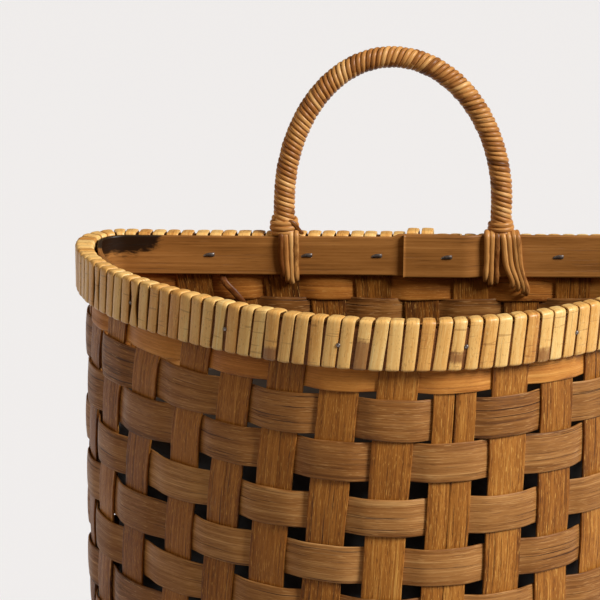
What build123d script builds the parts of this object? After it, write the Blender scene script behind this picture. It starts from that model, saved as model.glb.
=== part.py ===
from build123d import *
import math
import os

# Woven bamboo umbrella stand: a flat-backed, round-fronted basket with one hoop handle at the back.
# Origin: floor level, under the centre of the rim's outer box. +Z up, -Y is the round front. Units: mm.

os.makedirs("parts", exist_ok=True)

# Plan of the rim's outer face.
RIM_WIDTH = 400.0
RIM_DEPTH = 230.0
BACK_Y = RIM_DEPTH / 2
CORNER_DEPTH = 30.0          # from the flat back to the widest place
CORNER_WIDTH = 30.0
FRONT_TRIM = 0.048           # how much the front falls short of an ellipse, halfway round to the side

# Heights.
RIM_TOP = 480.0
RIM_HEIGHT = 26.0
FOOT_HEIGHT = 24.0

# The woven wall: its middle line is the middle of the staves.
WALL_INSET = 10.0
STAVE_WIDTH = 22.6
STAVE_THICK = 1.2
STAVE_COUNT = 30
FRONT_STAVES = 19
FRONT_PITCH = 31.9
FRONT_OFFSET = -1.3
EVEN_STAVES = 4              # past this many from the front the staves stand further apart
LEFT_SPREAD = (18.0, 1.5)    # by how much in all, and over how many staves, on the left
RIGHT_SPREAD = (26.0, 3.0)   # and on the right
BACK_SHIFT = 14.0            # the back staves stand this far to the left of even spacing
STAVE_TOP = RIM_TOP - 1.0
STAVE_BOTTOM = 1.5
SPLIT_STAVE = 1              # this stave is two narrow strips side by side
SPLIT_GAP = 1.5
TWIST_MEAN = 4.4             # degrees of lean near the rim, all the way round
TWIST_SWING = 6.0            # degrees more on the left side and less on the right
TWIST_REACH = 300.0          # the lean fades out over about this depth

# The weavers: closed rings, each passing outside one stave and inside the next.
WEAVER_THICK = 1.1
WEAVER_LAYER = 1.7           # from the stave's middle to the weaver's middle
WEAVER_MARGIN = 0.6          # how far a weaver runs past a stave's edge before it crosses
WEAVER_STEPS = 6
UPPER_ROWS = [(17.0, 23.6), (44.2, 24.0), (70.4, 23.2)]   # depth of the top edge, height
ROW_START = 103.0
ROW_PITCH = 30.0
ROW_HEIGHT = 22.0
LOWER_ROWS = 12

# The rim: a stout outer hoop bound with strips, and a flat band inside, nailed together.
WRAP_PITCH = 8.95
WRAP_START = -2.1            # the joint between two wraps nearest the front middle
WRAP_GAP = 1.0
WRAP_THICK = 0.9
WRAP_CLEAR = 0.1
WRAP_INSET = 0.8             # the nail heads stand this far out of the wraps
HOOP_THICK = 4.4
BAND_INSET = 12.9
BAND_THICK = 2.6
BAND_HEIGHT = 26.0
BAND_LAP = 36.0              # the band's ends overlap behind the back's centre
BAND_LAP_X = 7.0
BAND_STEP = 14.0
BAND_CLEAR = 0.25
TIE_LIFT = 2.2               # two strips over the lap stand higher than the rest
NAIL_RADIUS = 0.42
NAIL_CLEAR = 0.06
NAIL_HEAD = 1.5
NAIL_HEAD_THICK = 0.6
CLINCH = 5.0
RIM_NAIL_Z = RIM_TOP - 12.0
RIM_NAIL_XS = (113.0, 35.5, -10.5, -48.0, -116.0)   # along the flat back
RIM_NAIL_START = 34.3        # first nail on the round front, measured from its middle
RIM_NAIL_PITCH = 74.0
RIM_NAIL_HOLE = 0.25         # clearance where a rim nail pierces a stave
RIM_DRILL = (-2.0, 22.0)     # where a drill for a rim nail starts, from the hoop's face, and its length

# The foot: an outer and an inner hoop, with the plaited base lying on the inner one.
FOOT_INSET = 3.2
FOOT_THICK = 4.0
INNER_FOOT_THICK = 4.0
INNER_FOOT_HEIGHT = 15.0
FOOT_NAIL_Z = 8.0
FOOT_DRILL = (-4.0, 20.0)
FACET = 6.6                  # length of the flats that make up a round line
LEAN_FACET = 2.5             # sideways step between the levels of a leaning stave
MAT_WIDTH = 24.0
MAT_PITCH = 27.0
MAT_THICK = 1.4
MAT_LAYER = 0.95
MAT_INSET = 13.0
MAT_ROWS = 7
MAT_COLUMNS = 13

# The handle: a bent rod wound with fine strands, lashed to the back of the rim.
HANDLE_INSET = 9.5
HANDLE_SPAN = 138.8          # between the middles of the legs
HANDLE_RISE = 115.4          # from the rim to the middle of the rod at the top
HANDLE_CROWN = 93.4          # height of the curved part
HANDLE_SKEW = -1.6           # how far the top leans to the right
CORE_RADIUS = 5.0
WRAP_RADIUS = 7.0
COLLAR_RADIUS = 9.0
COLLAR_HEIGHT = 16.0
HANDLE_SIDES = 12
HANDLE_CLEAR = 0.15
TONGUE = (9.0, 1.3, 13.0)    # the flattened end of the rod, behind the rim hoop
TONGUE_INSET = 8.5
STRAND_RADIUS = 1.6
STRAND_DROP = 32.0
STRAND_TUCK = 3.0
LEFT_STRANDS = [(-71.0, 2.0), (-66.8, 1.5), (-62.6, 1.0)]     # x at the rim and how far each splays
RIGHT_STRANDS = [(66.0, 0.0), (72.0, 6.0), (76.0, 7.0), (80.0, 8.0)]

# The removable drip liner.
LINER_INSET = 24.0
LINER_WALL = 2.0
LINER_TOP = 395.0
LINER_LIP = 2.5
LINER_LIP_HEIGHT = 5.0

SAMPLES = 240                # points on each stretch of the plan
NORMAL_SPAN = 3.0


class Outline:
    """A closed plan line, walked by distance anticlockwise from the middle of the front."""

    def __init__(self, points):
        self.points = points + [points[0]]
        self.reached = [0.0]
        for a, b in zip(self.points, self.points[1:]):
            self.reached.append(self.reached[-1] + math.dist(a, b))
        self.length = self.reached[-1]

    def point(self, distance):
        distance %= self.length
        low, high = 0, len(self.reached) - 1
        while high - low > 1:
            middle = (low + high) // 2
            if self.reached[middle] <= distance:
                low = middle
            else:
                high = middle
        a, b = self.points[low], self.points[high]
        share = (distance - self.reached[low]) / (self.reached[high] - self.reached[low])
        return (a[0] + share * (b[0] - a[0]), a[1] + share * (b[1] - a[1]))

    def heading(self, distance):
        a = self.point(distance - NORMAL_SPAN)
        b = self.point(distance + NORMAL_SPAN)
        size = math.dist(a, b)
        return ((b[0] - a[0]) / size, (b[1] - a[1]) / size)

    def at(self, distance, inward=0.0):
        x, y = self.point(distance)
        along = self.heading(distance)
        return (x - along[1] * inward, y + along[0] * inward)

    def inside(self, inset):
        count = len(self.points) - 1
        return Outline([self.at(self.length * i / count, inset) for i in range(count)])


def rim_outline():
    half_width = RIM_WIDTH / 2
    widest_y = BACK_Y - CORNER_DEPTH
    reach = RIM_DEPTH - CORNER_DEPTH
    right = []
    for i in range(SAMPLES):
        turn = i / SAMPLES * math.pi / 2
        size = 1 - FRONT_TRIM * math.sin(2 * turn) ** 2
        right.append((half_width * size * math.sin(turn), widest_y - reach * size * math.cos(turn)))
    for i in range(SAMPLES + 1):
        turn = i / SAMPLES * math.pi / 2
        x = half_width - CORNER_WIDTH + CORNER_WIDTH * math.cos(turn)
        y = widest_y + CORNER_DEPTH * math.sin(turn)
        right.append((x, y))
    back = [(x, BACK_Y) for x in (120.0, 60.0, 0.0)]
    left = [(-x, y) for x, y in reversed(right[1:] + back[:-1])]
    return Outline(right + back + left)


RIM_LINE = rim_outline()
WALL_LINE = RIM_LINE.inside(WALL_INSET)


def mitred(corners, depth):
    """The polygon's corners moved so that every side lies this far inside its first place."""
    moved = []
    count = len(corners)
    for i in range(count):
        before, here, after = corners[i - 1], corners[i], corners[(i + 1) % count]
        a = math.atan2(here[1] - before[1], here[0] - before[0])
        b = math.atan2(after[1] - here[1], after[0] - here[0])
        middle = a + math.remainder(b - a, math.tau) / 2
        reach = depth / math.cos(middle - a)
        moved.append((here[0] - math.sin(middle) * reach, here[1] + math.cos(middle) * reach))
    return moved


def flats(inset, length=FACET, start=0.0):
    """Corners of a many-sided ring at this inset from the rim's outer face."""
    line = RIM_LINE.inside(inset)
    count = round(line.length / length)
    return [line.at(start + line.length * i / count) for i in range(count)]


def slab(corners, low, high):
    """A flat-topped prism over a closed plan outline."""
    face = make_face(Polyline(*corners, close=True))
    return extrude(Pos(0, 0, low) * face, high - low, dir=(0, 0, 1))


def ring(corners, thick, low, high):
    return slab(corners, low, high) - slab(mitred(corners, thick), low - 1, high + 1)


def closed_solid(sections):
    """A solid through a row of equal many-sided sections, with flat three-cornered faces."""
    faces = []
    count = len(sections[0])
    for near, far in zip(sections, sections[1:]):
        for i in range(count):
            j = (i + 1) % count
            faces.append(Face(Wire.make_polygon([near[i], near[j], far[j]])))
            faces.append(Face(Wire.make_polygon([near[i], far[j], far[i]])))
    for end in (sections[0], sections[-1]):
        faces.append(Face(Wire.make_polygon(end)))
    return Solid(Shell(faces))


def save(node, solids):
    export_step(Compound(children=list(solids)), f"parts/{node}.step")


# Staves

def side_place(count, spread):
    """Distance round the wall, from the front stave, of the stave this many along on one side."""
    most, rate = spread
    return FRONT_PITCH * count + most * (1 - math.exp(-max(0, count - EVEN_STAVES) / rate))


def stave_place(number):
    """Distance along the wall of a stave's middle at the rim; number 0 is the front centre."""
    side = (FRONT_STAVES - 1) // 2
    if number <= side:
        return FRONT_OFFSET + side_place(number, RIGHT_SPREAD)
    if number >= STAVE_COUNT - side:
        return WALL_LINE.length + FRONT_OFFSET - side_place(STAVE_COUNT - number, LEFT_SPREAD)
    share = (number - side) / (STAVE_COUNT - 2 * side)
    start, end = stave_place(side), stave_place(STAVE_COUNT - side)
    return start + (end - start) * share + BACK_SHIFT * math.sin(math.pi * share)


def stave_lean(number):
    swing = math.sin(math.tau * stave_place(number) / WALL_LINE.length)
    return math.radians(TWIST_MEAN - TWIST_SWING * swing)


def stave_middle(number, z):
    depth = RIM_TOP - z
    reach = TWIST_REACH * (1 - math.exp(-depth / TWIST_REACH))
    return stave_place(number) - math.tan(stave_lean(number)) * reach


def stave_strip(number, start, end):
    """One strip of a stave, from start to end across its width, following the wall."""
    pieces = max(1, round((end - start) / FACET))
    shift = stave_middle(number, STAVE_TOP) - stave_middle(number, STAVE_BOTTOM)
    levels = 2 + int(abs(shift) / LEAN_FACET)
    sections = []
    for level in range(levels):
        z = STAVE_TOP + (STAVE_BOTTOM - STAVE_TOP) * level / (levels - 1)
        middle = stave_middle(number, z)
        places = [middle + start + (end - start) * i / pieces for i in range(pieces + 1)]
        outer = [WALL_LINE.at(place, -STAVE_THICK / 2) for place in places]
        inner = [WALL_LINE.at(place, STAVE_THICK / 2) for place in reversed(places)]
        sections.append([(x, y, z) for x, y in outer + inner])
    return closed_solid(sections)


def stave(number):
    half = STAVE_WIDTH / 2
    if number == SPLIT_STAVE:
        gap = SPLIT_GAP / 2
        return [stave_strip(number, -half, -gap), stave_strip(number, gap, half)]
    return [stave_strip(number, -half, half)]


# Weavers

def rows():
    """Top edge and height of every weaver, from the rim down."""
    listed = [(RIM_TOP - depth, height) for depth, height in UPPER_ROWS]
    for i in range(LOWER_ROWS):
        listed.append((RIM_TOP - ROW_START - ROW_PITCH * i, ROW_HEIGHT))
    return listed


def weaver(row, top, height):
    outer = []
    inner = []
    for number in range(STAVE_COUNT):
        side = -WEAVER_LAYER if (number + row) % 2 else WEAVER_LAYER
        high = stave_middle(number, top)
        low = stave_middle(number, top - height)
        start = min(high, low) - STAVE_WIDTH / 2 - WEAVER_MARGIN
        end = max(high, low) + STAVE_WIDTH / 2 + WEAVER_MARGIN
        for i in range(WEAVER_STEPS + 1):
            place = start + (end - start) * i / WEAVER_STEPS
            outer.append(WALL_LINE.at(place, side - WEAVER_THICK / 2))
            inner.append(WALL_LINE.at(place, side + WEAVER_THICK / 2))
    return slab(outer, top - height, top) - slab(inner, top - height - 1, top + 1)


# Rim

HOOP_CORNERS = flats(WRAP_INSET + WRAP_THICK + WRAP_CLEAR, WRAP_PITCH, WRAP_START)
HOOP_LOW = RIM_TOP - RIM_HEIGHT + WRAP_THICK + WRAP_CLEAR
HOOP_HIGH = RIM_TOP - WRAP_THICK - WRAP_CLEAR


def wrap_block(number, grown, gap, low, high):
    """The stretch of hoop between two of its corners, grown all round and shortened by half a gap."""
    other = (number + 1) % len(HOOP_CORNERS)
    a, b = HOOP_CORNERS[number], HOOP_CORNERS[other]
    trim = gap / 2 / math.dist(a, b)
    step = ((b[0] - a[0]) * trim, (b[1] - a[1]) * trim)
    far = mitred(HOOP_CORNERS, -grown)
    near = mitred(HOOP_CORNERS, HOOP_THICK + grown)
    corners = [
        (far[number][0] + step[0], far[number][1] + step[1]),
        (far[other][0] - step[0], far[other][1] - step[1]),
        (near[other][0] - step[0], near[other][1] - step[1]),
        (near[number][0] + step[0], near[number][1] + step[1]),
    ]
    return slab(corners, low, high)


def is_tie(number):
    """Whether a wrap is one of the two raised ones over the band's lap, on the back."""
    a = HOOP_CORNERS[number]
    b = HOOP_CORNERS[(number + 1) % len(HOOP_CORNERS)]
    return a[1] > 0 and abs((a[0] + b[0]) / 2 - BAND_LAP_X - WRAP_PITCH) < WRAP_PITCH


def wrap(number):
    lift = TIE_LIFT if is_tie(number) else 0.0
    grown = WRAP_CLEAR + WRAP_THICK
    body = wrap_block(number, grown, WRAP_GAP, HOOP_LOW - grown, HOOP_HIGH + grown + lift)
    return body - wrap_block(number, WRAP_CLEAR, -WRAP_GAP, HOOP_LOW - WRAP_CLEAR, HOOP_HIGH + WRAP_CLEAR)


def nail(corners, number, z, start, length, radius, head=0.0, clinch=0.0):
    """A nail driven straight in at a ring's corner."""
    here = corners[number]
    inner = mitred(corners, 1.0)[number]
    size = math.dist(here, inner)
    inward = ((inner[0] - here[0]) / size, (inner[1] - here[1]) / size)
    return nail_at(here, inward, z, start, length, radius, head, clinch)


def nail_at(place, inward, z, start, length, radius, head=0.0, clinch=0.0):
    """A nail at any place; its head is a thin disc and its point may be bent over inside."""
    origin = (place[0] + inward[0] * start, place[1] + inward[1] * start, z)
    plane = Plane(origin=origin, x_dir=(-inward[1], inward[0], 0), z_dir=(inward[0], inward[1], 0))
    body = extrude(plane * RegularPolygon(radius, 6), length)
    if head:
        body += extrude(plane * RegularPolygon(head, 12), NAIL_HEAD_THICK)
    if clinch:
        tip = Pos((radius - clinch) / 2, 0, length - radius) * Box(clinch, radius, radius * 1.6)
        body += plane * tip
    return body


def nearest_corner(corners, target):
    return min(range(len(corners)), key=lambda number: math.dist(corners[number], target))


def gap_middle(number, z):
    """Distance along the wall of the middle of the gap after a stave, at this height."""
    return (stave_middle(number, z) + stave_middle(number + 1, z)) / 2


def rim_nail_corners():
    """Joints between two wraps that carry a nail: some along the back, the rest round the front."""
    chosen = [nearest_corner(HOOP_CORNERS, (x, BACK_Y - WRAP_INSET)) for x in RIM_NAIL_XS]
    for side in (-1, 1):
        place = RIM_NAIL_START if side > 0 else RIM_NAIL_START - RIM_NAIL_PITCH
        while RIM_LINE.at(place)[1] < BACK_Y - CORNER_DEPTH:
            chosen.append(nearest_corner(HOOP_CORNERS, RIM_LINE.at(place, WRAP_INSET)))
            place += side * RIM_NAIL_PITCH
    return chosen


RIM_NAIL_CORNERS = rim_nail_corners()
NAIL_START = -(WRAP_THICK + WRAP_CLEAR) - NAIL_HEAD_THICK - 0.1


def nail_reach(number):
    """Length of a rim nail: through the hoop and the band, which is double at its lap."""
    x, y = HOOP_CORNERS[number]
    through = BAND_INSET + BAND_THICK - (WRAP_INSET + WRAP_THICK + WRAP_CLEAR)
    if y > 0 and -BAND_STEP < x - BAND_LAP_X < BAND_LAP + BAND_STEP:
        through += BAND_THICK + BAND_CLEAR
    return through - NAIL_START + NAIL_RADIUS * 2 + 0.2


def rim_nail(number):
    length = nail_reach(number)
    return nail(HOOP_CORNERS, number, RIM_NAIL_Z, NAIL_START, length, NAIL_RADIUS, NAIL_HEAD, CLINCH)


def drill_rim(body):
    for number in RIM_NAIL_CORNERS:
        body -= nail(HOOP_CORNERS, number, RIM_NAIL_Z, *RIM_DRILL, NAIL_RADIUS + NAIL_CLEAR)
    return body


def pierced_stave(number):
    """A stave's strips, with a hole for each rim nail that goes through them."""
    strips = stave(number)
    middle = WALL_LINE.at(stave_middle(number, RIM_NAIL_Z))
    for corner in RIM_NAIL_CORNERS:
        if math.dist(middle, HOOP_CORNERS[corner]) < STAVE_WIDTH:
            hole = nail(HOOP_CORNERS, corner, RIM_NAIL_Z, *RIM_DRILL, NAIL_RADIUS + RIM_NAIL_HOLE)
            strips = [strip - hole for strip in strips]
    return strips


def inner_band():
    """An open strip whose last stretch laps over the inside of its beginning."""
    line = RIM_LINE.inside(BAND_INSET)
    end = line.length * 1.5 - BAND_LAP_X
    whole = line.length + BAND_LAP
    count = round(whole / FACET)
    outer = []
    inner = []
    for i in range(count + 1):
        to_end = whole * (1 - i / count)
        share = min(1.0, max(0.0, (BAND_LAP + BAND_STEP + 2 - to_end) / BAND_STEP))
        depth = (BAND_THICK + BAND_CLEAR) * share
        outer.append(line.at(end - to_end, depth))
        inner.append(line.at(end - to_end, depth + BAND_THICK))
    return slab(outer + inner[::-1], RIM_TOP - BAND_HEIGHT, RIM_TOP)


# Foot and base

FOOT_CORNERS = flats(FOOT_INSET)
INNER_FOOT_CORNERS = flats(BAND_INSET)
FOOT_NAIL_GAPS = range(0, STAVE_COUNT, 3)


def foot_nail(number, start, length, radius, head=0.0):
    place = gap_middle(number, FOOT_NAIL_Z)
    along = WALL_LINE.heading(place)
    here = WALL_LINE.at(place, FOOT_INSET - WALL_INSET)
    return nail_at(here, (-along[1], along[0]), FOOT_NAIL_Z, start, length, radius, head)


def foot_nails():
    length = BAND_INSET + INNER_FOOT_THICK - FOOT_INSET
    start = -NAIL_HEAD_THICK - 0.1
    return [foot_nail(number, start, length, NAIL_RADIUS, NAIL_HEAD) for number in FOOT_NAIL_GAPS]


def drill_foot(body):
    for number in FOOT_NAIL_GAPS:
        body -= foot_nail(number, *FOOT_DRILL, NAIL_RADIUS + NAIL_CLEAR)
    return body


def crossings(line, axis, value):
    """Where a line crosses x = value (axis 0) or y = value (axis 1)."""
    found = []
    for a, b in zip(line.points, line.points[1:]):
        if (a[axis] - value) * (b[axis] - value) < 0:
            share = (value - a[axis]) / (b[axis] - a[axis])
            found.append((a[0] + share * (b[0] - a[0]), a[1] + share * (b[1] - a[1])))
    return found


MAT_Z = INNER_FOOT_HEIGHT + 0.2 + MAT_LAYER + MAT_THICK / 2
MAT_BACK = BACK_Y - MAT_INSET - MAT_WIDTH / 2 - 1


def mat_profile(start, end, middles, phase):
    """Outline, seen from the side, of a strip that passes over one crossing strip and under the next."""
    reach = MAT_WIDTH / 2 + 0.5
    points = []
    for i, middle in enumerate(middles):
        level = MAT_LAYER if (i + phase) % 2 else -MAT_LAYER
        for place in (middle - reach, middle + reach):
            if start < place < end:
                points.append((place, level))
    points = [(start, points[0][1])] + points + [(end, points[-1][1])]
    top = [(place, level + MAT_THICK / 2) for place, level in points]
    bottom = [(place, level - MAT_THICK / 2) for place, level in reversed(points)]
    return make_face(Polyline(*top, *bottom, close=True))


def mat_ys():
    return [MAT_BACK - MAT_PITCH * i for i in range(MAT_ROWS)]


def mat_xs():
    return [MAT_PITCH * (i - (MAT_COLUMNS - 1) / 2) for i in range(MAT_COLUMNS)]


def cross_strip(index):
    y = mat_ys()[index]
    line = RIM_LINE.inside(MAT_INSET)
    edges = (y - MAT_WIDTH / 2, y + MAT_WIDTH / 2)
    reach = min(abs(x) for edge in edges for x, _ in crossings(line, 1, edge))
    face = mat_profile(-reach, reach, mat_xs(), index)
    plane = Plane(origin=(0, y - MAT_WIDTH / 2, MAT_Z), x_dir=(1, 0, 0), z_dir=(0, -1, 0))
    return extrude(plane * face, MAT_WIDTH, dir=(0, 1, 0))


def deep_strip(index):
    x = mat_xs()[index]
    line = RIM_LINE.inside(MAT_INSET)
    edges = (x - MAT_WIDTH / 2, x + MAT_WIDTH / 2)
    front = max(y for edge in edges for _, y in crossings(line, 0, edge) if y < BACK_Y - CORNER_DEPTH)
    back = min(y for edge in edges for _, y in crossings(line, 0, edge) if y > BACK_Y - CORNER_DEPTH)
    face = mat_profile(front, back, mat_ys()[::-1], index + MAT_ROWS)
    plane = Plane(origin=(x - MAT_WIDTH / 2, 0, MAT_Z), x_dir=(0, 1, 0), z_dir=(1, 0, 0))
    return extrude(plane * face, MAT_WIDTH, dir=(1, 0, 0))


# Handle

HANDLE_Y = BACK_Y - HANDLE_INSET
HANDLE_FOOT = RIM_TOP + 0.5


def handle_path(low):
    """Middle of the rod: a straight leg, an arch and a straight leg, in the plane of the back."""
    half = HANDLE_SPAN / 2
    spring = RIM_TOP + HANDLE_RISE - HANDLE_CROWN
    arch = []
    for i in range(HANDLE_SIDES * 2 + 1):
        turn = math.pi * i / (HANDLE_SIDES * 2)
        x = half * math.cos(turn) + HANDLE_SKEW * math.sin(turn) ** 2
        arch.append((x, spring + HANDLE_CROWN * math.sin(turn)))
    return [(half, low)] + arch + [(-half, low)]


def rod(path, radius):
    """A many-sided rod along a path of (x, z) points, with mitred bends."""
    turns = [math.atan2(b[1] - a[1], b[0] - a[0]) for a, b in zip(path, path[1:])]
    turns = [turns[0]] + turns + [turns[-1]]
    sections = []
    for here, a, b in zip(path, turns, turns[1:]):
        middle = a + math.remainder(b - a, math.tau) / 2
        stretch = 1 / math.cos(middle - a)
        section = []
        for side in range(HANDLE_SIDES):
            turn = math.tau * (side + 0.5) / HANDLE_SIDES
            out = radius * math.cos(turn) * stretch
            x = here[0] - math.sin(middle) * out
            z = here[1] + math.cos(middle) * out
            section.append((x, HANDLE_Y + radius * math.sin(turn), z))
        sections.append(section)
    return closed_solid(sections)


def handle_core():
    width, thick, drop = TONGUE
    body = rod(handle_path(HANDLE_FOOT), CORE_RADIUS)
    for side in (-1, 1):
        x = side * HANDLE_SPAN / 2
        tongue = Pos(x, BACK_Y - TONGUE_INSET, HANDLE_FOOT - drop / 2 + 1) * Box(width, thick, drop + 2)
        body += tongue
    return body


def handle_wrap():
    low = HANDLE_FOOT + COLLAR_HEIGHT + 0.5
    hollow = rod(handle_path(low - 1), CORE_RADIUS + HANDLE_CLEAR)
    return rod(handle_path(low), WRAP_RADIUS) - hollow


def collar(side):
    x = side * HANDLE_SPAN / 2
    low = HANDLE_FOOT
    plane = Plane(origin=(x, HANDLE_Y, low + 0.2))
    body = extrude(plane * RegularPolygon(COLLAR_RADIUS, HANDLE_SIDES), COLLAR_HEIGHT)
    return body - extrude(plane * RegularPolygon(CORE_RADIUS + 0.6, HANDLE_SIDES), COLLAR_HEIGHT)


def strand(x, lean):
    """A lashing strand that runs down over the band and tucks in under it."""
    band_face = BACK_Y - BAND_INSET - BAND_THICK - 0.2
    y = band_face - STRAND_RADIUS
    top = (x, y, RIM_TOP + 0.2)
    foot = (x + lean, y, RIM_TOP - STRAND_DROP)
    tuck = (x + lean, y + STRAND_TUCK, RIM_TOP - STRAND_DROP)
    return square_run(top, foot) + square_run(foot, tuck)


def square_run(a, b):
    """A short square bar of the strand's thickness from a to b."""
    side = STRAND_RADIUS * 1.8
    direction = Vector(*b) - Vector(*a)
    plane = Plane(origin=a, z_dir=direction)
    return extrude(plane * RegularPolygon(side / 2, 8), direction.length + STRAND_RADIUS / 2)


# Drip liner

def liner():
    corners = flats(LINER_INSET)
    low = MAT_Z + MAT_LAYER + MAT_THICK / 2 + 0.3
    body = slab(corners, low, LINER_TOP)
    body += ring(mitred(corners, -LINER_LIP), LINER_LIP + 1.0, LINER_TOP - LINER_LIP_HEIGHT, LINER_TOP)
    return body - slab(mitred(corners, LINER_WALL), low + LINER_WALL, LINER_TOP + 1)


def main():
    side = (FRONT_STAVES - 1) // 2
    back = range(side + 1, STAVE_COUNT - side)
    for number in range(STAVE_COUNT):
        if number not in back:
            save(f"stave_{number:02d}", pierced_stave(number))
    save("back_staves", [strip for number in back for strip in pierced_stave(number)])
    for row, (top, height) in enumerate(rows()):
        save(f"weaver_{row:02d}", [weaver(row, top, height)])
    save("rim_hoop", [drill_rim(ring(HOOP_CORNERS, HOOP_THICK, HOOP_LOW, HOOP_HIGH))])
    save("rim_wraps", [wrap(number) for number in range(len(HOOP_CORNERS))])
    save("inner_rim_band", [drill_rim(inner_band())])
    save("rim_nails", [rim_nail(number) for number in RIM_NAIL_CORNERS])
    save("outer_foot_hoop", [drill_foot(ring(FOOT_CORNERS, FOOT_THICK, 0, FOOT_HEIGHT))])
    save("inner_foot_hoop", [drill_foot(ring(INNER_FOOT_CORNERS, INNER_FOOT_THICK, 0, INNER_FOOT_HEIGHT))])
    save("foot_nails", foot_nails())
    save("base_cross_strips", [cross_strip(i) for i in range(MAT_ROWS)])
    save("base_deep_strips", [deep_strip(i) for i in range(MAT_COLUMNS)])
    save("handle_core", [handle_core()])
    save("handle_wrap", [handle_wrap()])
    save("handle_collars", [collar(-1), collar(1)])
    save("handle_strands", [strand(x, lean) for x, lean in LEFT_STRANDS + RIGHT_STRANDS])
    save("drip_liner", [liner()])


main()
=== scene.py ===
"""Woven bamboo umbrella stand: strips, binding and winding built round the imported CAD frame."""
import math
import random

import bpy
import numpy as np
from mathutils import Matrix, Vector


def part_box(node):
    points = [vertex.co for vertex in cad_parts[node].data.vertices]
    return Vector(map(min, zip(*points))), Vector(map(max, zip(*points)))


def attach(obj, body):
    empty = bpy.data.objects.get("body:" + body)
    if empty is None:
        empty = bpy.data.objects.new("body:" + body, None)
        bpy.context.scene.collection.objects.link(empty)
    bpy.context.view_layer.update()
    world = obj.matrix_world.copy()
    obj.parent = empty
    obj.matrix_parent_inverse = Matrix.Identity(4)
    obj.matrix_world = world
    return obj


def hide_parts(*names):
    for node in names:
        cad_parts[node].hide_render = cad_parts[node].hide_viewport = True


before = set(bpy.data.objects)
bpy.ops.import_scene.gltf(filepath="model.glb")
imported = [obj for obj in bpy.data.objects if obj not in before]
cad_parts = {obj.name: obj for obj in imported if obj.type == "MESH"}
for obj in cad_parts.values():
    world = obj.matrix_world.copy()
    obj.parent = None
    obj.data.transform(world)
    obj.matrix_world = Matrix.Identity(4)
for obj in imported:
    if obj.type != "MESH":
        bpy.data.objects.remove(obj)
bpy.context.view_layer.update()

MM = 0.001

# Plan and heights, as in the CAD model.
HALF_WIDTH = 0.2
DEPTH = 0.23
BACK_Y = DEPTH / 2
CORNER = 0.03
FRONT_TRIM = 0.048
RIM_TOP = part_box("inner_rim_band")[1].z
RIM_HEIGHT = 26 * MM
WALL_INSET = 10 * MM
NORMAL_SPAN = 3 * MM
SAMPLES = 240

STAVE_COUNT = 30
SIDE_STAVES = 9              # on each side of the front one; the rest stand at the back
FRONT_PITCH = 31.9 * MM
FRONT_OFFSET = -1.3 * MM
EVEN_STAVES = 4
LEFT_SPREAD = (18 * MM, 1.5)
RIGHT_SPREAD = (26 * MM, 3.0)
BACK_SHIFT = 14 * MM
STAVE_WIDTH = 22.6 * MM
STAVE_THICK = 1.2 * MM
STAVE_TOP = RIM_TOP - 1 * MM
STAVE_BOTTOM = 1.5 * MM
STAVE_BOW = 0.5 * MM
STAVE_STEPS = 200
INNER_SHADE = 0.4            # painted shade: how much darker the strips at the back of the wall are painted, for the shade inside the basket
SPLIT_STAVE = 1
SPLIT_GAP = 0.9 * MM
SPLIT_CLOSED = 0.15 * MM
TWIST_MEAN = 4.4
TWIST_SWING = 6.0
TWIST_REACH = 0.3
WEAVER_THICK = 1.1 * MM
WEAVER_SWING = 2.1 * MM
WEAVER_SWING_AT_RIM = 1.75 * MM
UPPER_ROWS = [(17.0, 23.6), (44.2, 24.0), (70.4, 23.2)]
ROW_START = 103.0
ROW_PITCH = 30.0
ROW_HEIGHT = 22.0
LOWER_ROWS = 12
BELLY = 3.2 * MM
BELLY_TOP = RIM_TOP - RIM_HEIGHT
BELLY_FOOT = 24 * MM
LEFT_RIM_SWELL = 1.4 * MM
LEFT_WALL_SWELL = 0.3 * MM

WRAP_PITCH = 8.95 * MM
WRAP_START = -2.1 * MM
WRAP_GAP = 1.4 * MM
WRAP_THICK = 0.9 * MM
WRAP_CROWN = 0.5 * MM
HOOP_OUTER = 1.8 * MM
HOOP_THICK = 4.4 * MM
HOOP_LOW = RIM_TOP - RIM_HEIGHT
HOOP_HIGH = RIM_TOP - 1 * MM
BAND_INSET = 12.9 * MM
BAND_THICK = 2.6 * MM
BAND_HEIGHT = 26 * MM
BAND_LAP = 36 * MM
BAND_LAP_X = 7 * MM
BAND_STEP = 14 * MM
BAND_CLEAR = 0.25 * MM
TIE_LIFT = 2.2 * MM
RIM_NAIL_Z = RIM_TOP - 12 * MM
RIM_NAIL_XS = (113.0, 35.5, -10.5, -48.0, -116.0)
RIM_NAIL_START = 34.3 * MM
RIM_NAIL_PITCH = 74 * MM

FOOT_INSET = 3.2 * MM
FOOT_THICK = 4 * MM
FOOT_HEIGHT = 24 * MM
INNER_FOOT_HEIGHT = 15 * MM
FOOT_NAIL_Z = 8 * MM
MAT_WIDTH = 24 * MM
MAT_PITCH = 27 * MM
MAT_THICK = 1.4 * MM
MAT_LAYER = 0.95 * MM
MAT_INSET = 13 * MM
MAT_ROWS = 7
MAT_COLUMNS = 13
MAT_Z = INNER_FOOT_HEIGHT + 0.2 * MM + MAT_LAYER + MAT_THICK / 2

HANDLE_Y = BACK_Y - 9.5 * MM
HANDLE_HALF = 69.4 * MM
HANDLE_RISE = 115.4 * MM
HANDLE_CROWN = 93.4 * MM
HANDLE_SKEW = -1.6 * MM
CORE_RADIUS = 5 * MM
STRAND_COUNT = 4
STRAND_LEAD = 13.2 * MM
STRAND_HALF = 1.6 * MM

LINER_INSET = 24 * MM
LINER_WALL = 2 * MM
LINER_TOP = 395 * MM
LINER_LIP = 2.5 * MM
LINER_LIP_HEIGHT = 5 * MM

random.seed(41)


# Plan outlines

def run_length(points):
    """Distance along a line at each of its points."""
    steps = np.linalg.norm(np.diff(points, axis=0), axis=1)
    return np.concatenate([[0.0], np.cumsum(steps)])


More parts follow.
